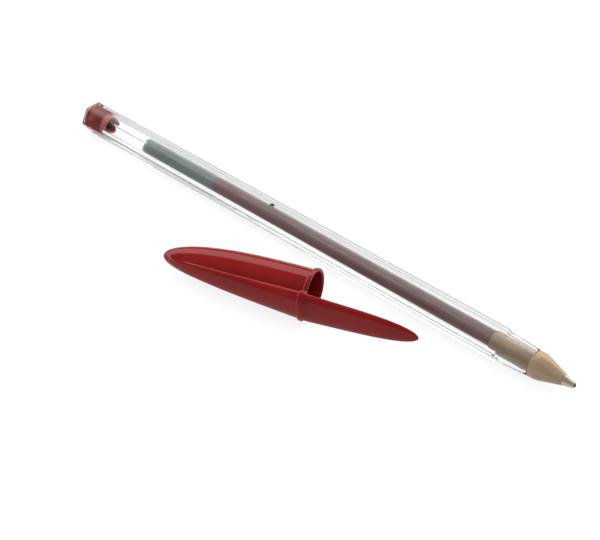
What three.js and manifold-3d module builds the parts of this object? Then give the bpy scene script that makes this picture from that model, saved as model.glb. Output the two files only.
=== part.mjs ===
// A stick ballpoint pen with a clear six-sided barrel, and its cap lying beside it.
// Millimetres, +Z up. The pen lies along +X, writing end at +X, on one flat of its barrel.
// The origin is the middle of that flat. Inside the pen group, x runs from the barrel's rear end.

import * as THREE from 'three';
import { mergeVertices } from 'three/addons/utils/BufferGeometryUtils.js';
import Module from 'manifold-3d';

const wasm = await Module();
wasm.setup();

// ---------------------------------------------------------------- driving dimensions

const PEN_LENGTH = 144;
const ACROSS_FLATS = 6.95;
const FLAT_LENGTH = 126.5;
const BARREL_LENGTH = 134;
const BORE_RADIUS = 2.55;
const SIDES = 48; // of a turned piece
const DEGREE = Math.PI / 180;

const nose = { startRadius: 3.45, mouthRadius: 3.05, chamfer: 0.5 };
const vent = { at: 61.5, radius: 0.5 };

const plug = { length: 7, radius: 2.5, wall: 0.6, base: 1.2, recess: 0.15 };

const tube = { rear: 20.1, radius: 1.9, bore: 1.2, socketDepth: 4 };
const ink = { rear: 44, gap: 0.05 };

const holder = {
  shankRear: 124,
  shankRadius: 2.45,
  shoulder: 1.4, // straight rim in front of the barrel's mouth
  coneRadius: 3.02,
  frontAt: 141.2,
  frontRadius: 1.32,
  socketRadius: 1.95,
  channelRadius: 0.8,
  pointBore: 1.1,
  pointBoreAt: 136.5,
};

const point = { stemRear: 137, stemRadius: 1.05, lipAt: 143.66, lipRadius: 0.66, channel: 0.4 };
const ball = { radius: 0.5, seat: 0.56 };

const cap = {
  bodyLength: 36.7,
  bodyRadius: 4.9,
  tipOffset: 1.15, // of the closed end, towards the clip
  clipLength: 26.1,
  clipCentre: 6.05, // from the bore's axis, at the mouth
  clipSplay: -0.15,
  clipHalfWidth: 3.5,
  clipHalfThickness: 1.15,
  clipProtrusion: 2.6, // beyond the body, at the mouth
  clipBite: 0.75, // into the body's wall
  clipRootAt: 0.94, // share of the body's length where the clip begins, from the mouth
  clearance: 4.9, // radius of the clip's hollow inner face
  ringRadius: 5.35,
  ringLength: 1,
  ringStep: 0.35,
  mouthAt: new THREE.Vector2(23.98, -14.93), // from the origin
  yaw: 16.5 * DEGREE,
  pitch: 2.55 * DEGREE, // mouth raised, so that the ring and the body both touch the ground
  roll: 8 * DEGREE, // clip above level
};

// Inside of the cap: radius at distances from the mouth.
const capBore = [
  [0, 4.85],
  [0.3, 4.62],
  [1.5, 4.5],
  [8, 4.2],
  [11.4, 4.15],
  [12.2, 3.8],
  [18.6, 3.25],
  [30, 0.9],
  [30.8, 0],
];

// ---------------------------------------------------------------- helpers

// A turned piece along +X from [x, radius] points. They run from the rear, along the outside to
// the front, and back along the inside where the piece is hollow.
function turned(points, sides = SIDES) {
  const profile = points.map(([x, radius]) => new THREE.Vector2(radius, x));
  return new THREE.LatheGeometry(profile, sides).rotateZ(-Math.PI / 2);
}

// A prism along +X whose section is a regular polygon standing on one of its flats.
function polygonPrism(sides, acrossFlats, from, to) {
  const radius = acrossFlats / 2 / Math.cos(Math.PI / sides);
  const outline = new THREE.Shape();
  for (let k = 0; k < sides; k += 1) {
    const angle = ((k + 0.5) * 2 * Math.PI) / sides - Math.PI / 2;
    const corner = [radius * Math.cos(angle), radius * Math.sin(angle)];
    if (k === 0) outline.moveTo(...corner);
    else outline.lineTo(...corner);
  }
  outline.closePath();
  const prism = new THREE.ExtrudeGeometry(outline, { depth: to - from, bevelEnabled: false });
  return prism.rotateX(Math.PI / 2).rotateZ(Math.PI / 2).translate(from, 0, 0);
}

// A closed skin through rings of points, with a point at each end.
function loft(rings, start, end) {
  const count = rings[0].length;
  const vertices = [start, ...rings.flat(), end];
  const last = vertices.length - 1;
  const at = (ring, k) => 1 + ring * count + (k % count);
  const faces = [];
  for (let k = 0; k < count; k += 1) {
    faces.push(0, at(0, k + 1), at(0, k));
    faces.push(last, at(rings.length - 1, k), at(rings.length - 1, k + 1));
    for (let ring = 0; ring < rings.length - 1; ring += 1) {
      faces.push(at(ring, k), at(ring, k + 1), at(ring + 1, k));
      faces.push(at(ring, k + 1), at(ring + 1, k + 1), at(ring + 1, k));
    }
  }
  const geometry = new THREE.BufferGeometry();
  geometry.setAttribute('position', new THREE.Float32BufferAttribute(vertices.flat(), 3));
  geometry.setIndex(faces);
  return geometry;
}

// An ellipse of points in the plane of constant x, centred beside the axis on the clip's side.
function ellipseRing(x, centre, halfWidth, halfThickness, count) {
  return Array.from({ length: count }, (_, k) => {
    const angle = (2 * Math.PI * k) / count;
    return [x, -centre + halfThickness * Math.cos(angle), halfWidth * Math.sin(angle)];
  });
}

function solid(geometry) {
  const bare = geometry.clone();
  bare.deleteAttribute('normal');
  bare.deleteAttribute('uv');
  const merged = mergeVertices(bare, 1e-5);
  const corners = Array.from(merged.index.array);
  const faces = corners.filter((_, k) => {
    const [a, b, c] = corners.slice(k - (k % 3), k - (k % 3) + 3);
    return a !== b && b !== c && c !== a;
  });
  return new wasm.Manifold(new wasm.Mesh({
    numProp: 3,
    vertProperties: new Float32Array(merged.attributes.position.array),
    triVerts: new Uint32Array(faces),
  }));
}

function geometryOf(manifold) {
  const mesh = manifold.getMesh();
  const geometry = new THREE.BufferGeometry();
  geometry.setAttribute('position', new THREE.BufferAttribute(mesh.vertProperties, 3));
  geometry.setIndex(new THREE.BufferAttribute(mesh.triVerts, 1));
  geometry.computeVertexNormals();
  return geometry;
}

function piece(name, geometry, look) {
  const mesh = new THREE.Mesh(geometry, new THREE.MeshStandardMaterial(look));
  mesh.name = name;
  return mesh;
}

// ---------------------------------------------------------------- barrel

// Six flats to FLAT_LENGTH, where the corners step down to a round tapering nose. The bore runs
// right through, and a small vent leads into it through the top flat.
function barrelGeometry() {
  const body = solid(polygonPrism(6, ACROSS_FLATS, 0, FLAT_LENGTH));
  const cornerRadius = ACROSS_FLATS / 2 / Math.cos(Math.PI / 6);
  const trim = turned([
    [-1, 0],
    [-1, cornerRadius + 0.1],
    [FLAT_LENGTH - nose.chamfer, cornerRadius + 0.1],
    [FLAT_LENGTH, nose.startRadius],
    [FLAT_LENGTH + 1, nose.startRadius],
    [FLAT_LENGTH + 1, 0],
  ]);
  const taper = turned([
    [FLAT_LENGTH - 1, 0],
    [FLAT_LENGTH - 1, nose.mouthRadius],
    [FLAT_LENGTH, nose.startRadius],
    [BARREL_LENGTH, nose.mouthRadius],
    [BARREL_LENGTH, 0],
  ]);
  const bore = turned([
    [-1, 0],
    [-1, BORE_RADIUS],
    [BARREL_LENGTH + 1, BORE_RADIUS],
    [BARREL_LENGTH + 1, 0],
  ]);
  const ventHole = new THREE.CylinderGeometry(vent.radius, vent.radius, ACROSS_FLATS, 16);
  ventHole.rotateX(Math.PI / 2).translate(vent.at, 0, ACROSS_FLATS / 2);
  const shell = body.intersect(solid(trim)).add(solid(taper)).subtract(solid(bore));
  return geometryOf(shell.subtract(solid(ventHole)));
}

// ---------------------------------------------------------------- end plug

// A cup pushed into the rear of the bore, its open side facing the writing end.
function endPlugGeometry() {
  const inner = plug.radius - plug.wall;
  return turned([
    [plug.recess, 0],
    [plug.recess, plug.radius],
    [plug.length, plug.radius],
    [plug.length, inner],
    [plug.base, inner],
    [plug.base, 0],
  ]);
}

// ---------------------------------------------------------------- refill

function inkTubeGeometry() {
  const front = holder.shankRear + tube.socketDepth - ink.gap;
  return turned([
    [tube.rear, tube.bore],
    [tube.rear, tube.radius],
    [front, tube.radius],
    [front, tube.bore],
    [tube.rear, tube.bore],
  ]);
}

// The ink stands in the tube and in the holder's channel behind the writing point.
function inkGeometry() {
  const step = holder.shankRear + tube.socketDepth;
  const front = point.stemRear - ink.gap;
  const wide = tube.bore - ink.gap;
  const narrow = holder.channelRadius - ink.gap;
  return turned([
    [ink.rear, 0],
    [ink.rear, wide],
    [step, wide],
    [step, narrow],
    [front, narrow],
    [front, 0],
  ]);
}

// A straight shank inside the barrel and a bluff cone in front of its mouth, bored for the tube
// at the rear and for the writing point at the front.
function tipHolderGeometry() {
  const seat = BARREL_LENGTH + 0.02;
  const tubeStop = holder.shankRear + tube.socketDepth;
  const shoulderAt = seat + holder.shoulder;
  const rounded = [0.25, 0.5, 0.75].map((share) => {
    const x = shoulderAt + share * 1.2;
    return [x, holder.coneRadius - 0.24 * share * share];
  });
  return turned([
    [holder.shankRear, holder.socketRadius],
    [holder.shankRear, holder.shankRadius - 0.25],
    [holder.shankRear + 0.4, holder.shankRadius],
    [seat, holder.shankRadius],
    [seat, holder.coneRadius],
    [shoulderAt, holder.coneRadius],
    ...rounded,
    [holder.frontAt, holder.frontRadius],
    [holder.frontAt, holder.pointBore],
    [holder.pointBoreAt, holder.pointBore],
    [holder.pointBoreAt, holder.channelRadius],
    [tubeStop, holder.channelRadius],
    [tubeStop, holder.socketRadius],
    [holder.shankRear, holder.socketRadius],
  ]);
}

// A turned metal socket: stem, exposed cone and the lip that keeps the ball in its seat.
function writingPointGeometry() {
  const centre = PEN_LENGTH - ball.radius;
  const seatArc = [];
  const lipAngle = Math.asin((point.lipAt - centre) / ball.seat);
  const floorAngle = -Math.acos(point.channel / ball.seat);
  for (let k = 0; k <= 6; k += 1) {
    const angle = lipAngle + ((floorAngle - lipAngle) * k) / 6;
    seatArc.push([centre + ball.seat * Math.sin(angle), ball.seat * Math.cos(angle)]);
  }
  const collar = holder.frontAt + 0.03;
  return turned([
    [point.stemRear, point.channel],
    [point.stemRear, point.stemRadius],
    [collar, point.stemRadius],
    [collar, holder.frontRadius - 0.06],
    [point.lipAt - 0.12, point.lipRadius + 0.06],
    [point.lipAt, point.lipRadius],
    ...seatArc,
    [point.stemRear, point.channel],
  ], 32);
}

function ballGeometry() {
  const sphere = new THREE.SphereGeometry(ball.radius, 24, 16).rotateZ(Math.PI / 2);
  return geometryOf(solid(sphere.translate(PEN_LENGTH - ball.radius, 0, 0)));
}

// ---------------------------------------------------------------- cap

// Shares run from 0 at the mouth to 1 at the closed end; x is 0 at the mouth and falls behind it.
const bodyRadiusAt = (share) => cap.bodyRadius * Math.sqrt(Math.max(0, 1 - share ** 3));
const bodyOffsetAt = (share) => cap.tipOffset * share ** 3;

function capBody() {
  const count = 28;
  const rings = [];
  for (let k = 1; k < count; k += 1) {
    const share = Math.sin((k / count) * (Math.PI / 2));
    const radius = bodyRadiusAt(share);
    rings.push(ellipseRing(-cap.bodyLength * share, bodyOffsetAt(share), radius, radius, SIDES));
  }
  rings.unshift(ellipseRing(0, 0, cap.bodyRadius, cap.bodyRadius, SIDES));
  return loft(rings.reverse(), [-cap.bodyLength, -cap.tipOffset, 0], [0, 0, 0]);
}

// Half sizes and centre of the clip's section: along the body it grows out of the closed end,
// and past the mouth it narrows to a rounded tip.
function clipSection(x) {
  if (x > 0) {
    const share = x / cap.clipLength;
    const close = Math.sqrt(Math.max(0, 1 - share ** 5));
    return {
      centre: cap.clipCentre + cap.clipSplay * share,
      halfWidth: cap.clipHalfWidth * (1 - 0.28 * share) * close,
      halfThickness: cap.clipHalfThickness * (1 - 0.3 * share) * close,
    };
  }
  const share = -x / cap.bodyLength;
  const wall = bodyRadiusAt(share) + bodyOffsetAt(share);
  const outer = wall + cap.clipProtrusion * (1 - share) ** 1.3;
  const inner = wall - cap.clipBite;
  return {
    centre: (outer + inner) / 2,
    halfWidth: cap.clipHalfWidth * Math.sqrt(1 - share),
    halfThickness: (outer - inner) / 2,
  };
}

function clipRing(x, grow = 0) {
  const { centre, halfWidth, halfThickness } = clipSection(x);
  return ellipseRing(x, centre, halfWidth + grow, halfThickness + grow, 28);
}

function capClip() {
  const stations = [];
  for (let k = 0; k <= 16; k += 1) stations.push(-cap.bodyLength * cap.clipRootAt * (1 - k / 16));
  for (let k = 1; k < 14; k += 1) stations.push(cap.clipLength * Math.sin((k / 14) * (Math.PI / 2)));
  const first = stations[0];
  const tip = [cap.clipLength, -clipSection(cap.clipLength).centre, 0];
  const root = [first - 0.3, -clipSection(first).centre, 0];
  return loft(stations.map((x) => clipRing(x)), root, tip);
}

// The raised band round the mouth takes in the body and the clip.
function capRing() {
  const band = turned([
    [-cap.ringLength, 0],
    [-cap.ringLength, cap.ringRadius],
    [0, cap.ringRadius],
    [0, 0],
  ]);
  const rear = clipRing(-cap.ringLength, cap.ringStep);
  const front = clipRing(0, cap.ringStep);
  const middle = (ring) => [ring[0][0], -cap.clipCentre, 0];
  return solid(band).add(solid(loft([rear, front], middle(rear), middle(front))));
}

function capGeometry() {
  const profile = capBore.map(([depth, radius]) => [-depth, radius]);
  const bore = turned([[1, 0], [1, capBore[0][1]], ...profile].reverse());
  const hollow = turned([
    [0, 0],
    [0, cap.clearance],
    [cap.clipLength + 1, cap.clearance],
    [cap.clipLength + 1, 0],
  ]);
  const clip = solid(capClip()).subtract(solid(hollow));
  return geometryOf(solid(capBody()).add(clip).add(capRing()).subtract(solid(bore)));
}

// ---------------------------------------------------------------- assembly

const clear = { color: 0xeef2f2, roughness: 0.05, metalness: 0, transparent: true, opacity: 0.35 };
const milky = { color: 0x8f9896, roughness: 0.35, metalness: 0, transparent: true, opacity: 0.7 };
const red = { color: 0x7d1518, roughness: 0.2, metalness: 0 };

const pen = new THREE.Group();
pen.position.set(-FLAT_LENGTH / 2, 0, ACROSS_FLATS / 2);
pen.add(piece('barrel', barrelGeometry(), clear));
pen.add(piece('end_plug', endPlugGeometry(), red));
pen.add(piece('ink_tube', inkTubeGeometry(), milky));
pen.add(piece('ink', inkGeometry(), { color: 0x4a1c1e, roughness: 0.3, metalness: 0 }));
pen.add(piece('tip_holder', tipHolderGeometry(), { color: 0xa8865f, roughness: 0.3, metalness: 0 }));
pen.add(piece('writing_point', writingPointGeometry(), {
  color: 0xa89a80,
  roughness: 0.3,
  metalness: 1,
}));
pen.add(piece('ball', ballGeometry(), { color: 0x6a4a44, roughness: 0.15, metalness: 1 }));

const capPlace = new THREE.Group();
const ringHeight = cap.ringRadius * Math.cos(cap.pitch) + cap.ringLength * Math.sin(cap.pitch);
capPlace.position.set(cap.mouthAt.x, cap.mouthAt.y, ringHeight);
capPlace.rotation.set(-cap.roll, -cap.pitch, cap.yaw, 'ZYX');
capPlace.add(piece('cap', capGeometry(), red));

const group = new THREE.Group();
group.add(pen, capPlace);

export default group;
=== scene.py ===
# A clear six-sided stick ballpoint and its cap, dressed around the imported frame.
# Sizes are in millimetres while a piece is made and in metres once it is placed.
# Stations along the pen are counted from the barrel's rear edge, along the cap from its mouth.
import math

import bmesh
import bpy
from mathutils import Matrix, Vector


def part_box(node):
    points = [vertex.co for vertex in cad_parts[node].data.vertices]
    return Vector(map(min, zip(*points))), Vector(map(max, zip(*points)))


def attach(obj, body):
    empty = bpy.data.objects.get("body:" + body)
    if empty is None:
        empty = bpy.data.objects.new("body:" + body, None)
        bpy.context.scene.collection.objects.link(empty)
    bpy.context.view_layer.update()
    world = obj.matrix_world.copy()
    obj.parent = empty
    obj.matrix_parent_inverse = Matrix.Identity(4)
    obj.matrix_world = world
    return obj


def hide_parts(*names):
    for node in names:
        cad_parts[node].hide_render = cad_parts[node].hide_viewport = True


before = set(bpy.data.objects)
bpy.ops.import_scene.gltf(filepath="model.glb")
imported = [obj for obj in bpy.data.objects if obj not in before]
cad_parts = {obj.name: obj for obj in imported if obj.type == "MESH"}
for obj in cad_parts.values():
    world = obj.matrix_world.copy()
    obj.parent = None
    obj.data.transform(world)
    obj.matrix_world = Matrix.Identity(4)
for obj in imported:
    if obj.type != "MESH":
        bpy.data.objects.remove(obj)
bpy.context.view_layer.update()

MM = 0.001
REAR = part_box("barrel")[0].x / MM
BARREL_END = (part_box("barrel")[1].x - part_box("barrel")[0].x) / MM
TUBE_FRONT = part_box("ink_tube")[1].x / MM - REAR
INK_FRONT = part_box("ink")[1].x / MM - REAR
PEN_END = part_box("ball")[1].x / MM - REAR
plug_low, plug_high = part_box("end_plug")
AXIS_HEIGHT = (plug_low.z + plug_high.z) / 2 / MM
APOTHEM = AXIS_HEIGHT
PEN_PLACE = Matrix.Translation((REAR, 0, AXIS_HEIGHT))

SIDES = 96

# barrel
FLAT_END = 126.5
CORNER_ROUND = 0.07
BORE = 2.55
BORE_EDGE = 0.1
NOSE_START = 3.45
NOSE_MOUTH = 3.05
VENT_AT = 61.5
VENT_RADIUS = 0.5
SHADED_CORNER = (0, 0.5, 0.866)  # towards a corner that gets painted shade; the opposite corner gets it too
CORNER_SHADE_START = 3.45  # the painted shade starts this far out that way, and is full at the distance on the next line
CORNER_SHADE_FULL = 3.95

# end plug
GRIP = BORE + 0.01  # pressed into the bore
PLUG_REAR = 0.02
PLUG_END = 7
PLUG_FLOOR = 1.2
# The painted glow on the lip starts at the first station and is full at the second.
LIP_GLOW_START = 5.4
LIP_GLOW_FULL = 5.8

# refill
TUBE_REAR = 20.1
TUBE_RADIUS = 1.9
TUBE_BORE = 1.2
INK_REAR = 44
INK_SHOULDER = 127.95
INK_RADIUS = 1.15
INK_NECK = 0.75
HOLDER_REAR = 124
HOLDER_STEP = 134.02
HOLDER_END = 141.2
SHANK_RADIUS = 2.4
CONE_RADIUS = 3.02
SOCKET_END = 128
SOCKET_RADIUS = 1.95
CHANNEL = 0.8
STEM_REAR = 137
STEM_RADIUS = 1.05
STEM_HOLE = 1.1
POINT_CHANNEL = 0.4
LIP_EDGE = 143.66
BALL_RADIUS = 0.5
BALL_SEAT = 0.56
BALL_CENTRE = PEN_END - BALL_RADIUS

# cap
BODY_LENGTH = 36.7
BODY_RADIUS = 4.9
TIP_OFFSET = 1.15
RING_RADIUS = 5.35
RING_LENGTH = 1.0
CLIP_LENGTH = 26.1
CLIP_ROOT = -0.94 * BODY_LENGTH
CLIP_MIDDLE = 6.05
CLIP_HALF_WIDTH = 3.5
CLIP_HALF_THICKNESS = 1.15
CLIP_STAND = 2.6  # how far the clip's back stands out of the body at the mouth
CLIP_SUNK = 0.75  # how far its inner side lies in the wall
BAND_GROW = 0.35
YAW, PITCH, ROLL = (math.radians(angle) for angle in (16.5, 2.55, 8))
CAP_HEIGHT = RING_RADIUS * math.cos(PITCH) + RING_LENGTH * math.sin(PITCH)
CAP_PLACE = Matrix.Translation((23.98, -14.93, CAP_HEIGHT)) @ (
    Matrix.Rotation(YAW, 4, "Z") @ Matrix.Rotation(-PITCH, 4, "Y") @ Matrix.Rotation(-ROLL, 4, "X")
)

# stage
FLOOR_HALF = 4.0
FLOOR_DROP = 0.06 * MM
CAMERA_AT = Vector((156.58, -172.91, 196.89)) * MM
AZIMUTH = math.radians(130.9)
ELEVATION = math.radians(41.89)
SIGHT = Vector(
    (
        math.cos(AZIMUTH) * math.cos(ELEVATION),
        math.sin(AZIMUTH) * math.cos(ELEVATION),
        -math.sin(ELEVATION),
    )
)
# Each step of the world's light: from and to along the camera's line, and its strength at both.
WORLD_STEPS = ((-0.56, -0.48, 0.03, 1), (-0.68, 0.17, 0.9, 4.6), (0.14, 0.18, 1, 0.075))


# ---------------------------------------------------------------- mesh helpers


def arc(centre, start, end, steps):
    """Points on the shorter arc about centre from start to end, both included."""
    a = Vector(start) - Vector(centre)
    b = Vector(end) - Vector(centre)
    turn = a.angle_signed(b)
    return [
        Vector(centre) + Matrix.Rotation(-turn * k / steps, 2) @ a
        for k in range(steps + 1)
    ]


def rounded(corners, steps=4):
    """A flat outline from (x, radius, fillet) corners, each turned into an arc of that fillet."""
    points = []
    last = len(corners) - 1
    for k, (x, r, fillet) in enumerate(corners):
        here = Vector((x, r))
        if fillet == 0 or k in (0, last):
            points.append(here)
            continue
        before = Vector(corners[k - 1][:2]) - here
        after = Vector(corners[k + 1][:2]) - here
        half = before.angle(after) / 2
        reach = min(fillet / math.tan(half), before.length * 0.49, after.length * 0.49)
        inward = (before.normalized() + after.normalized()).normalized()
        centre = here + inward * (reach / math.cos(half))
        start = here + before.normalized() * reach
        end = here + after.normalized() * reach
        points += arc(centre, start, end, steps)
    return points


def object_from(bm, name):
    bmesh.ops.recalc_face_normals(bm, faces=bm.faces)
    mesh = bpy.data.meshes.new(name)
    bm.to_mesh(mesh)
    bm.free()
    obj = bpy.data.objects.new(name, mesh)
    bpy.context.scene.collection.objects.link(obj)
    return obj


def skin(name, rings, closed=False):
    """A mesh through rings of points. A ring of one point is a pole. A closed skin joins up again."""
    bm = bmesh.new()
    made = [[bm.verts.new(p) for p in ring] for ring in rings]
    pairs = list(zip(made, made[1:]))
    if closed:
        pairs.append((made[-1], made[0]))
    for a, b in pairs:
        count = max(len(a), len(b))
        for k in range(count):
            corners = []
            for vert in (a[k % len(a)], a[(k + 1) % len(a)], b[(k + 1) % len(b)], b[k % len(b)]):
                if vert not in corners:
                    corners.append(vert)
            bm.faces.new(corners)
    return object_from(bm, name)


def turned(name, outline, sides=SIDES, closed=False):
    """A piece turned about the X axis from (x, radius) points."""
    rings = []
    turns = [2 * math.pi * k / sides for k in range(sides)]
    for x, r in outline:
        if r < 1e-6:
            rings.append([(x, 0, 0)])
        else:
            rings.append([(x, r * math.cos(t), r * math.sin(t)) for t in turns])
    return skin(name, rings, closed)


def baked(obj, *modifiers):
    """Adds modifiers and keeps their result as the object's mesh."""
    for kind, settings in modifiers:
        modifier = obj.modifiers.new(kind, kind)
        for key, value in settings.items():
            setattr(modifier, key, value)
    depsgraph = bpy.context.evaluated_depsgraph_get()
    mesh = bpy.data.meshes.new_from_object(obj.evaluated_get(depsgraph))
    obj.modifiers.clear()
    obj.data = mesh
    return obj


def combined(obj, operation, *others):
    """Joins the other objects to obj or cuts them out of it, and removes them."""
    steps = [
        ("BOOLEAN", {"operation": operation, "object": other, "solver": "EXACT"})
        for other in others
    ]
    baked(obj, *steps)
    for other in others:
        bpy.data.objects.remove(other)
    return obj


def place(obj, node, body, material, at=PEN_PLACE, crease=35):
    """Puts a finished piece in the frame, in place of its CAD node."""
    obj.data.transform(Matrix.Scale(MM, 4) @ at)
    obj.data.materials.clear()
    obj.data.materials.append(material)
    obj.data.shade_smooth()
    obj.data.set_sharp_from_angle(angle=math.radians(crease))
    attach(obj, body)
    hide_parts(node)


# ---------------------------------------------------------------- materials


class Look:
    """A Principled material with short ways to add procedural detail."""

    def __init__(self, name, **values):
        self.material = bpy.data.materials.new(name)
        self.material.use_nodes = True
        self.tree = self.material.node_tree
        self.shader = self.tree.nodes["Principled BSDF"]
        for key, value in values.items():
            self.shader.inputs[key.replace("_", " ")].default_value = value
        self.where = self.tree.nodes.new("ShaderNodeTexCoord").outputs["Object"]

    def node(self, kind, inputs, **settings):
        """A shader node. Each input is given as a value or as the socket that feeds it."""
        made = self.tree.nodes.new("ShaderNode" + kind)
        for key, value in settings.items():
            setattr(made, key, value)
        for key, value in inputs.items():
            if isinstance(value, bpy.types.NodeSocket):
                self.tree.links.new(value, made.inputs[key])
            else:
                made.inputs[key].default_value = value
        return made

    def noise(self, size, detail=3, stretch=(1, 1, 1), shift=0):
        """Noise with features of about size millimetres, drawn out by stretch along each axis."""
        scale = [1 / (size * MM * s) for s in stretch]
        location = (shift, shift * 1.7, shift * 0.6)
        mapping = self.node("Mapping", {"Vector": self.where, "Scale": scale, "Location": location})
        inputs = {"Vector": mapping.outputs[0], "Scale": 1, "Detail": detail}
        return self.node("TexNoise", inputs).outputs["Fac"]

    def spread(self, value, low, high, start=0.35, end=0.65):
        """Value as it goes from start to end, brought to the range from low to high."""
        inputs = {0: value, 1: start, 2: end, 3: low, 4: high}
        return self.node("MapRange", inputs).outputs[0]

    def mix(self, amount, first, second):
        """First where amount is 0 and second where it is 1, each a colour or a socket."""
        inputs = {"Factor": amount}
        for key, colour in (("A", first), ("B", second)):
            inputs[key] = (*colour, 1) if isinstance(colour, tuple) else colour
        return self.node("Mix", inputs, data_type="RGBA").outputs["Result"]

    def vector(self, operation, first, second, output=0):
        return self.node("VectorMath", {0: first, 1: second}, operation=operation).outputs[output]

    def along(self):
        """The station of the surface along the pen, in metres."""
        return self.node("SeparateXYZ", {0: self.where}).outputs["X"]

    def colour_patches(self, size, detail, stretch, first, second):
        """Two colours in soft patches of about size millimetres."""
        return self.mix(self.spread(self.noise(size, detail, stretch), 0, 1), first, second)

    def feed(self, key, value):
        self.tree.links.new(value, self.shader.inputs[key])

    def bump(self, height, depth):
        """Relief whose full depth is given in millimetres. Calls stack on one another."""
        made = self.node("Bump", {"Height": height, "Distance": depth * MM, "Strength": 1})
        normal = self.shader.inputs["Normal"]
        if normal.is_linked:
            self.tree.links.new(normal.links[0].from_socket, made.inputs["Normal"])
        self.feed("Normal", made.outputs["Normal"])


def clear_plastic():
    """Clear, with painted shade: greyer towards two opposite corners and where seen edge on, dark in
    the vent.
    """
    look = Look(
        "clear_polystyrene", IOR=1.4, Specular_Tint=(0.33, 0.34, 0.34, 1), Transmission_Weight=1
    )
    # Painted shade: the glass is coloured dark grey where it is seen edge on.
    edge_on_shade = look.spread(look.node("LayerWeight", {"Blend": 0.5}).outputs["Facing"], 0, 1, 0.86, 1)
    tint_and_shade = look.mix(edge_on_shade, (0.98, 0.99, 0.985), (0.1, 0.11, 0.11))

    # Painted shade: greyer towards two opposite corners, standing in for the dark bands that the
    # glass's edges show.
    from_axis = look.vector("SUBTRACT", look.where, (0, 0, AXIS_HEIGHT * MM))
    across = look.vector("DOT_PRODUCT", from_axis, SHADED_CORNER, "Value")
    reach = look.node("Math", {0: across}, operation="ABSOLUTE").outputs[0]
    corner_shade = look.spread(reach, 0, 1, CORNER_SHADE_START * MM, CORNER_SHADE_FULL * MM)
    tint_and_shade = look.mix(corner_shade, tint_and_shade, (0.22, 0.235, 0.23))

    # Painted shade: nearly black on every part of the barrel within the vent's circle as seen from
    # above, its walls included.
    from_vent = look.vector("SUBTRACT", look.where, ((REAR + VENT_AT) * MM, 0, 0))
    level = look.vector("MULTIPLY", from_vent, (1, 1, 0))
    distance = look.node("VectorMath", {0: level}, operation="LENGTH").outputs["Value"]
    vent = look.spread(distance, 1, 0, (VENT_RADIUS + 0.03) * MM, (VENT_RADIUS + 0.05) * MM)
    look.feed("Base Color", look.mix(vent, tint_and_shade, (0.01, 0.01, 0.01)))

    look.feed("Roughness", look.spread(look.noise(1.5, 4, (8, 1, 1)), 0.0, 0.03))
    look.bump(look.noise(2.2, 2, (14, 1, 1)), 0.0007)
    look.bump(look.noise(0.25, 3, (30, 1, 1), 5), 0.0006)
    return look.material


def red_plastic(name):
    """Glossy red plastic whose colour is still to be fed in."""
    look = Look(name, IOR=1.5, Specular_IOR_Level=0.17)
    look.feed("Roughness", look.spread(look.noise(0.5, 5, (5, 1, 1), 3), 0.03, 0.07))
    look.bump(look.noise(1.4, 2), 0.004)
    look.bump(look.noise(0.08, 3, (9, 1, 1), 8), 0.0008)
    return look


def cap_plastic():
    look = red_plastic("red_cap_plastic")
    flow = look.colour_patches(4, 4, (3, 1, 1), (0.18, 0.006, 0.007), (0.215, 0.009, 0.009))
    look.feed("Base Color", flow)
    return look.material


def plug_plastic():
    """Streaked along the plug, and with painted light: paler at the thin lip round its open end, as
    if lit through.
    """
    look = red_plastic("red_plug_plastic")
    streaks = look.colour_patches(0.45, 4, (14, 1, 1), (0.14, 0.009, 0.01), (0.225, 0.02, 0.02))
    # Painted light: the lip is paler, as if light shone through its thin wall.
    lip_glow = look.spread(look.along(), 0, 1, (REAR + LIP_GLOW_START) * MM, (REAR + LIP_GLOW_FULL) * MM)
    look.feed("Base Color", look.mix(lip_glow, streaks, (0.42, 0.11, 0.105)))
    return look.material


def tube_plastic():
    """Cloudy plastic that takes the ink's colour where the ink stands behind it."""
    look = Look(
        "translucent_tube",
        IOR=1.5,
        Alpha=0.9,
        Specular_IOR_Level=0.1,
        Subsurface_Weight=1,
        Subsurface_Scale=5 * MM,
        Subsurface_Radius=(1, 0.9, 0.9),
    )
    flow = look.spread(look.noise(2.5, 3, (12, 1, 1)), 0, 1)
    empty = look.mix(flow, (0.165, 0.195, 0.19), (0.185, 0.216, 0.21))
    full = look.mix(flow, (0.175, 0.107, 0.11), (0.2, 0.126, 0.129))
    waver = look.spread(look.noise(1.1, 2), -0.3 * MM, 0.3 * MM)
    station = look.node("Math", {0: look.along(), 1: waver}, operation="ADD").outputs[0]
    border = (REAR + INK_REAR) * MM
    stained = look.spread(station, 0, 1, border - 0.3 * MM, border + 0.5 * MM)
    look.feed("Base Color", look.mix(stained, empty, full))
    look.feed("Roughness", look.spread(look.noise(0.4, 4, (10, 1, 1), 2), 0.5, 0.65))
    look.bump(look.noise(0.3, 2, (20, 1, 1), 4), 0.002)
    return look.material


def ink_paste():
    look = Look("ink", IOR=1.45)
    cloud = look.colour_patches(1.2, 4, (6, 1, 1), (0.25, 0.09, 0.095), (0.34, 0.13, 0.135))
    look.feed("Base Color", cloud)
    look.feed("Roughness", look.spread(look.noise(0.6, 2), 0.15, 0.3))
    look.bump(look.noise(0.5, 2), 0.004)
    return look.material


def tan_plastic():
    look = Look(
        "tan_plastic",
        IOR=1.5,
        Specular_IOR_Level=0.4,
        Subsurface_Weight=0.6,
        Subsurface_Scale=2 * MM,
    )
    flow = look.colour_patches(1.6, 4, (5, 1, 1), (0.285, 0.2, 0.124), (0.35, 0.252, 0.16))
    look.feed("Base Color", flow)
    look.feed("Roughness", look.spread(look.noise(0.5, 3, (6, 1, 1), 3), 0.2, 0.28))
    look.bump(look.noise(1.2, 2, (3, 1, 1)), 0.003)
    look.bump(look.noise(0.1, 3, (6, 1, 1), 6), 0.0004)
    return look.material


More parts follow.
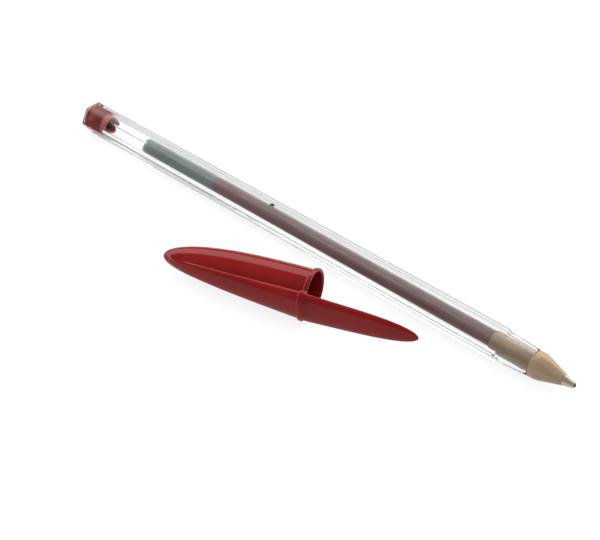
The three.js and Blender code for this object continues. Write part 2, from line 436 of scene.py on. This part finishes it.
def turned_metal():
    """Metal with the fine rings that turning leaves."""
    look = Look("turned_point", Metallic=1)
    look.feed("Base Color", look.mix(look.noise(0.6, 3), (0.46, 0.39, 0.3), (0.56, 0.48, 0.37)))
    rings = look.noise(0.03, 2, (1, 60, 60))
    look.feed("Roughness", look.spread(rings, 0.42, 0.58))
    look.bump(rings, 0.003)
    return look.material


def ball_metal():
    """Metal under an uneven film of ink."""
    look = Look("inked_ball", Metallic=1)
    film = look.spread(look.noise(0.35, 4), 0, 1)
    look.feed("Base Color", look.mix(film, (0.2, 0.07, 0.06), (0.1, 0.02, 0.02)))
    look.feed("Roughness", look.spread(film, 0.12, 0.3, 0, 1))
    look.bump(look.noise(0.05, 2), 0.0008)
    return look.material


def pale_floor():
    """A white sheet that is lit from below as well, as a light table is."""
    look = Look(
        "floor",
        Roughness=0.9,
        Specular_IOR_Level=0.1,
        Emission_Color=(1, 1, 1, 1),
        Emission_Strength=0.86,
    )
    look.feed("Base Color", look.mix(look.noise(60, 3), (0.15, 0.15, 0.15), (0.17, 0.17, 0.17)))
    return look.material


# ---------------------------------------------------------------- barrel


def hexagon():
    """Points round a six-sided section that lies on a flat, with each corner rounded."""
    points = []
    centre = (APOTHEM - CORNER_ROUND) / math.cos(math.pi / 6)
    for side in range(6):
        corner = math.radians(60 * side + 30)
        for k in range(7):
            turn = corner + math.radians(-30 + 10 * k)
            y = centre * math.sin(corner) + CORNER_ROUND * math.sin(turn)
            z = centre * math.cos(corner) + CORNER_ROUND * math.cos(turn)
            points.append(Vector((y, z)))
        here = points[-1]
        following = math.radians(60 * side + 90)
        y = centre * math.sin(following) + CORNER_ROUND * math.sin(following - math.pi / 6)
        z = centre * math.cos(following) + CORNER_ROUND * math.cos(following - math.pi / 6)
        there = Vector((y, z))
        points += [here.lerp(there, k / 12) for k in range(1, 12)]
    return points


def barrel_ring(x, limit=None, inset=0.0):
    """The six-sided section at x, cut down to a circle of radius limit."""
    ring = []
    for point in hexagon():
        reach = point.length - inset
        reach = reach if limit is None else min(reach, limit)
        ring.append((x, *(point.normalized() * reach)))
    return ring


def barrel_outside():
    """Rings from the rear edge along the flats and the nose to the mouth."""
    rings = [barrel_ring(0, inset=0.06), barrel_ring(0.02, inset=0.02), barrel_ring(0.06)]
    rings += [barrel_ring(1), barrel_ring(FLAT_END - 0.62)]
    corner = APOTHEM / math.cos(math.pi / 6)
    for k in range(7):
        share = k / 6
        limit = corner + (NOSE_START - corner) * share**1.2
        rings.append(barrel_ring(FLAT_END - 0.5 + 0.5 * share, limit))
    nose_length = BARREL_END - FLAT_END - 0.15
    for k in range(1, 12):
        share = k / 12
        radius = NOSE_START + (NOSE_MOUTH - NOSE_START) * share**1.25
        rings.append(barrel_ring(FLAT_END + nose_length * share, radius))
    for back, inset in ((0.12, 0), (0.03, 0.05), (0, 0.14)):
        rings.append(barrel_ring(BARREL_END - back, NOSE_MOUTH - inset))
    return rings


def make_barrel():
    bore = [
        barrel_ring(BARREL_END, BORE + BORE_EDGE),
        barrel_ring(BARREL_END - BORE_EDGE, BORE),
        barrel_ring(BORE_EDGE, BORE),
        barrel_ring(0, BORE + BORE_EDGE),
    ]
    barrel = skin("barrel_clear", barrel_outside() + bore, closed=True)
    vent = turned("vent", [(-2, 0), (-2, VENT_RADIUS), (2, VENT_RADIUS), (2, 0)], 32)
    upright = Matrix.Rotation(math.radians(90), 4, "Y")
    vent.data.transform(Matrix.Translation((VENT_AT, 0, APOTHEM)) @ upright)
    return combined(barrel, "DIFFERENCE", vent)


place(make_barrel(), "barrel", "barrel", clear_plastic())


# ---------------------------------------------------------------- end plug

plug = rounded(
    [
        (0.25, 0, 0),
        (0.25, 1.5, 0.15),
        (PLUG_REAR, 1.75, 0.1),
        (PLUG_REAR, GRIP, 0.05),
        (PLUG_END - 0.4, GRIP, 0.15),
        (PLUG_END, 2.38, 0.15),
        (PLUG_END, 1.9, 0.15),
        (PLUG_FLOOR, 1.85, 0.5),
        (PLUG_FLOOR, 0, 0),
    ]
)
place(turned("end_plug_cup", plug), "end_plug", "end_plug", plug_plastic())


# ---------------------------------------------------------------- refill

tube = rounded(
    [
        (TUBE_REAR + 1, TUBE_BORE, 0),
        (TUBE_REAR, TUBE_BORE, 0.12),
        (TUBE_REAR, TUBE_RADIUS, 0.2),
        (TUBE_FRONT, TUBE_RADIUS, 0.05),
        (TUBE_FRONT, TUBE_BORE, 0.05),
        (TUBE_REAR + 1.5, TUBE_BORE, 0),
    ]
)
place(turned("refill_tube", tube, closed=True), "ink_tube", "refill", tube_plastic())

meniscus = [
    (INK_REAR + 0.55 * math.cos(k / 8 * math.pi / 2), INK_RADIUS * k / 8) for k in range(8)
]
ink = [
    *meniscus,
    (INK_REAR, INK_RADIUS),
    (INK_SHOULDER, INK_RADIUS),
    (INK_SHOULDER, INK_NECK),
    (INK_FRONT, INK_NECK),
    (INK_FRONT, 0),
]
place(turned("ink_column", ink, 64), "ink", "refill", ink_paste())

holder = rounded(
    [
        (SOCKET_END, SOCKET_RADIUS, 0),
        (HOLDER_REAR, SOCKET_RADIUS, 0.06),
        (HOLDER_REAR, 2.18, 0.08),
        (HOLDER_REAR + 0.4, 2.36, 0.2),
        (133.4, 2.47, 0.02),
        (133.6, SHANK_RADIUS, 0.02),
        (HOLDER_STEP, SHANK_RADIUS, 0.02),
        (HOLDER_STEP, CONE_RADIUS, 0.15),
        (HOLDER_STEP + 1.4, CONE_RADIUS, 0.8),
        (136.3, 2.88, 1.2),
        (HOLDER_END, 1.32, 0.12),
        (HOLDER_END, STEM_HOLE, 0.02),
        (136.5, STEM_HOLE, 0.02),
        (136.5, CHANNEL, 0.02),
        (SOCKET_END, CHANNEL, 0),
    ]
)
place(turned("tip_holder_cone", holder, closed=True), "tip_holder", "refill", tan_plastic())

lip_turn = math.asin((LIP_EDGE - BALL_CENTRE) / BALL_SEAT)
floor_turn = -math.acos(POINT_CHANNEL / BALL_SEAT)
seat = [
    (BALL_CENTRE + BALL_SEAT * math.sin(turn), BALL_SEAT * math.cos(turn), 0)
    for turn in (lip_turn + (floor_turn - lip_turn) * k / 10 for k in range(11))
]
point = rounded(
    [
        (STEM_REAR + 1, POINT_CHANNEL, 0),
        (STEM_REAR, POINT_CHANNEL, 0.03),
        (STEM_REAR, STEM_RADIUS, 0.08),
        (141.23, STEM_RADIUS, 0.02),
        (141.23, 1.26, 0.08),
        (141.75, 1.15, 0.1),
        (141.85, 1.08, 0.03),
        (143.3, 0.77, 0.06),
        (143.36, 0.74, 0.03),
        (143.54, 0.72, 0.05),
        *seat,
    ]
)
place(turned("writing_point_socket", point, closed=True), "writing_point", "refill", turned_metal())

bead = [
    (
        BALL_CENTRE - BALL_RADIUS * math.cos(math.pi * k / 32),
        BALL_RADIUS * math.sin(math.pi * k / 32),
    )
    for k in range(1, 32)
]
bead = [(BALL_CENTRE - BALL_RADIUS, 0), *bead, (PEN_END, 0)]
place(turned("rolling_ball", bead, 48), "ball", "ball", ball_metal())


# ---------------------------------------------------------------- cap


def body_radius(share):
    return BODY_RADIUS * math.sqrt(max(0.0, 1 - share**3))


def ellipse(x, middle, half_width, half_thickness, count):
    """A ring beside the cap's axis, on the clip's side."""
    turns = [2 * math.pi * k / count for k in range(count)]
    return [(x, -middle + half_thickness * math.cos(t), half_width * math.sin(t)) for t in turns]


def clip_section(x):
    """Middle, half width and half thickness of the clip at x, which is 0 at the mouth."""
    if x > 0:
        share = x / CLIP_LENGTH
        close = math.sqrt(max(0.0, 1 - share**5))
        half_width = CLIP_HALF_WIDTH * (1 - 0.28 * share) * close
        half_thickness = CLIP_HALF_THICKNESS * (1 - 0.3 * share) * close
        return CLIP_MIDDLE - 0.15 * share, half_width, half_thickness
    share = -x / BODY_LENGTH
    wall = body_radius(share) + TIP_OFFSET * share**3
    outer = wall + CLIP_STAND * (1 - share) ** 1.3
    inner = wall - CLIP_SUNK
    return (outer + inner) / 2, CLIP_HALF_WIDTH * math.sqrt(1 - share), (outer - inner) / 2


def clip_ring(x, grow=0.0):
    middle, half_width, half_thickness = clip_section(x)
    return ellipse(x, middle, half_width + grow, half_thickness + grow, 48)


def cap_body():
    """The solid body, from its closed end to its mouth."""
    rings = [[(-BODY_LENGTH, -TIP_OFFSET, 0)]]
    for k in range(47, 0, -1):
        share = math.sin(k / 48 * math.pi / 2)
        radius = body_radius(share)
        rings.append(ellipse(-BODY_LENGTH * share, TIP_OFFSET * share**3, radius, radius, SIDES))
    rings.append(ellipse(0, 0, BODY_RADIUS, BODY_RADIUS, SIDES))
    rings.append([(0, 0, 0)])
    return skin("cap_moulding", rings)


def cap_clip():
    """The clip, with the pen's room cut out of its free end."""
    stations = [CLIP_ROOT * (1 - k / 32) for k in range(33)]
    stations += [CLIP_LENGTH * math.sin(k / 28 * math.pi / 2) for k in range(1, 28)]
    rings = [[(CLIP_ROOT - 0.3, -clip_section(CLIP_ROOT)[0], 0)]]
    rings += [clip_ring(x) for x in stations]
    rings.append([(CLIP_LENGTH, -clip_section(CLIP_LENGTH)[0], 0)])
    beyond = CLIP_LENGTH + 1
    room = [(0, 0), (0, BODY_RADIUS), (beyond, BODY_RADIUS), (beyond, 0)]
    return combined(skin("clip", rings), "DIFFERENCE", turned("hollow", room))


def cap_bands():
    """The ring round the mouth, and its run over the clip."""
    outline = [
        (-RING_LENGTH, 0, 0),
        (-RING_LENGTH, RING_RADIUS, 0.25),
        (0, RING_RADIUS, 0.2),
        (0, 0, 0),
    ]
    rear = clip_ring(-RING_LENGTH, BAND_GROW)
    front = clip_ring(0, BAND_GROW)
    poles = [(-RING_LENGTH, -CLIP_MIDDLE, 0)], [(0, -CLIP_MIDDLE, 0)]
    return turned("band", rounded(outline)), skin("clip_band", [poles[0], rear, front, poles[1]])


def cap_bore():
    """What is cut out of the body, from the narrow end to the mouth."""
    outline = [
        (-30.8, 0, 0),
        (-30, 0.9, 0.5),
        (-18.6, 3.25, 2),
        (-12.2, 3.8, 0.5),
        (-11.4, 4.15, 0.5),
        (-8, 4.2, 1),
        (-1.5, 4.5, 0.5),
        (-0.3, 4.62, 0.2),
        (0, 4.85, 0),
        (1, 4.85, 0),
        (1, 0, 0),
    ]
    return turned("bore", rounded(outline))


def make_cap():
    """One moulding, whose remeshed surface runs smoothly over every join."""
    cap = combined(cap_body(), "UNION", cap_clip(), *cap_bands())
    combined(cap, "DIFFERENCE", cap_bore())
    return baked(
        cap,
        ("REMESH", {"mode": "VOXEL", "voxel_size": 0.1}),
        ("SMOOTH", {"factor": 0.5, "iterations": 9}),
        ("DECIMATE", {"ratio": 0.34}),
    )


place(make_cap(), "cap", "cap", cap_plastic(), CAP_PLACE, 60)


# ---------------------------------------------------------------- stage, light and camera


def make_floor():
    mesh = bpy.data.meshes.new("floor")
    corners = [(x * FLOOR_HALF, y * FLOOR_HALF, 0) for x, y in ((-1, -1), (1, -1), (1, 1), (-1, 1))]
    mesh.from_pydata(corners, [], [(0, 1, 2, 3)])
    mesh.materials.append(pale_floor())
    floor = bpy.data.objects.new("floor", mesh)
    bpy.context.scene.collection.objects.link(floor)
    floor.location.z = -FLOOR_DROP


def make_camera():
    camera = bpy.data.objects.new("camera", bpy.data.cameras.new("camera"))
    bpy.context.scene.collection.objects.link(camera)
    camera.location = CAMERA_AT
    camera.rotation_euler = SIGHT.to_track_quat("-Z", "Y").to_euler()
    camera.data.lens = 78
    camera.data.sensor_width = 36
    camera.data.clip_start = 0.01
    bpy.context.scene.camera = camera


def make_lamp():
    """A soft panel above the pen, which glossy pieces don't mirror."""
    light = bpy.data.lights.new("overhead", "AREA")
    light.shape = "RECTANGLE"
    light.size = light.size_y = 1.2
    light.energy = 7
    lamp = bpy.data.objects.new("overhead", light)
    bpy.context.scene.collection.objects.link(lamp)
    lamp.location = (0.0, 0.1, 0.9)
    lamp.rotation_euler = (-lamp.location).to_track_quat("-Z", "Y").to_euler()
    lamp.visible_glossy = False


def make_world():
    """A white room. In reflections and refractions its light is banded about the camera's line."""
    world = bpy.data.worlds.new("studio")
    bpy.context.scene.world = world
    world.use_nodes = True
    nodes, links = world.node_tree.nodes, world.node_tree.links
    facing = nodes.new("ShaderNodeVectorMath")
    facing.operation = "DOT_PRODUCT"
    facing.inputs[1].default_value = -SIGHT
    links.new(nodes.new("ShaderNodeTexCoord").outputs["Generated"], facing.inputs[0])
    glow = None
    for values in WORLD_STEPS:
        step = nodes.new("ShaderNodeMapRange")
        for index, value in enumerate(values, 1):
            step.inputs[index].default_value = value
        links.new(facing.outputs["Value"], step.inputs[0])
        strength = step.outputs[0]
        if glow:
            product = nodes.new("ShaderNodeMath")
            product.operation = "MULTIPLY"
            links.new(glow, product.inputs[0])
            links.new(strength, product.inputs[1])
            strength = product.outputs[0]
        glow = strength
    pick = nodes.new("ShaderNodeMix")
    links.new(nodes.new("ShaderNodeLightPath").outputs["Is Camera Ray"], pick.inputs["Factor"])
    links.new(glow, pick.inputs["A"])
    pick.inputs["B"].default_value = 1
    links.new(pick.outputs["Result"], nodes["Background"].inputs["Strength"])
    nodes["Background"].inputs["Color"].default_value = (1, 1, 1, 1)


make_floor()
make_camera()
make_lamp()
make_world()
bpy.context.scene.view_settings.view_transform = "Standard"
